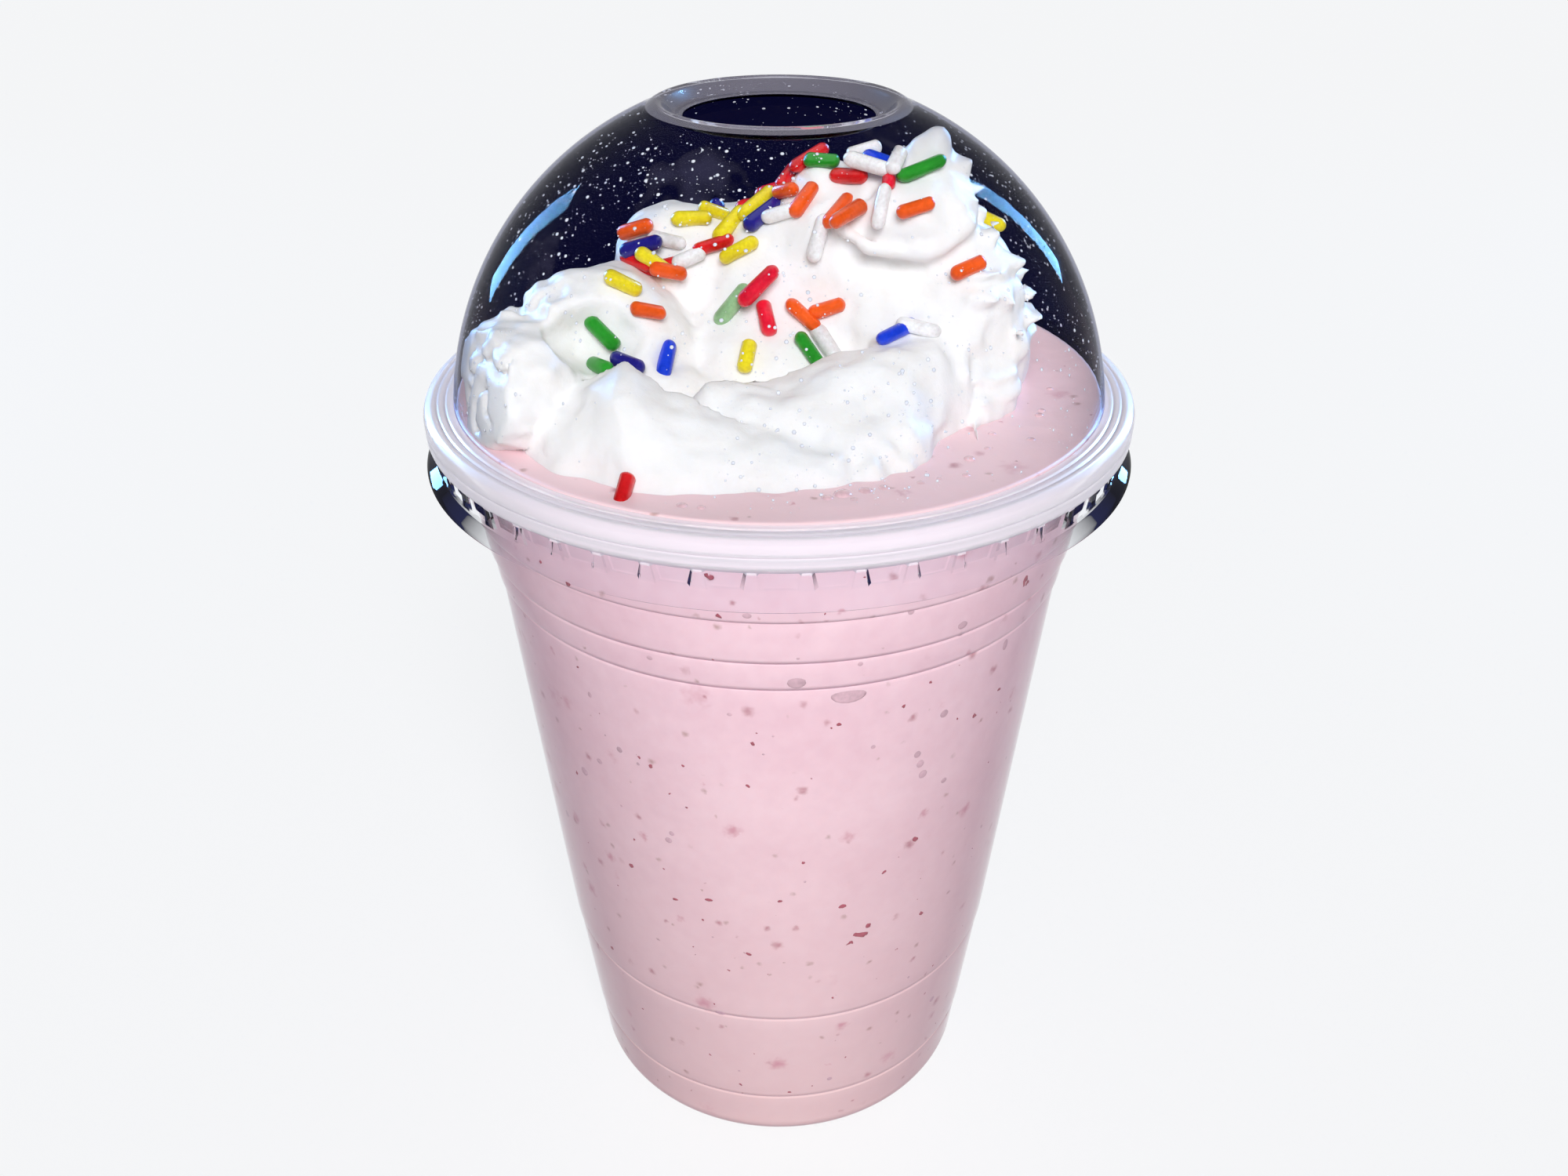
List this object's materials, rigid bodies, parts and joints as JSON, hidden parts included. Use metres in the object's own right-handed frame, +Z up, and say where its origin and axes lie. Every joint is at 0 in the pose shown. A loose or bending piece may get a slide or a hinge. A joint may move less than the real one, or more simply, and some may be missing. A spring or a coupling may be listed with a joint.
{
  "type": "milkshake in a clear cup with a dome lid",
  "caption": "Pink milkshake in a clear tapered plastic cup, topped with whipped cream and sugar sprinkles under a clear press-on dome lid with a round hole.",
  "frame": {"origin": "centre of the cup's base, on the surface that it stands on", "axes": "+Z up along the cup's axis, -Y towards the side of the cream that shows in the front view"},
  "size_m": [0.1043, 0.1044, 0.1661],
  "materials": {
    "clear_cup": "clear glossy thermoformed plastic",
    "clear_lid": "clear glossy thermoformed plastic, faintly frosted on the flange",
    "shake": "smooth thick milkshake with fine fruit flecks and air bubbles",
    "cream": "soft whipped cream"
  },
  "bodies": {
    "root": {"cup": "clear_cup", "lid": "clear_lid", "milkshake": "shake", "whipped_cream": "cream"}
  },
  "joints": []
}
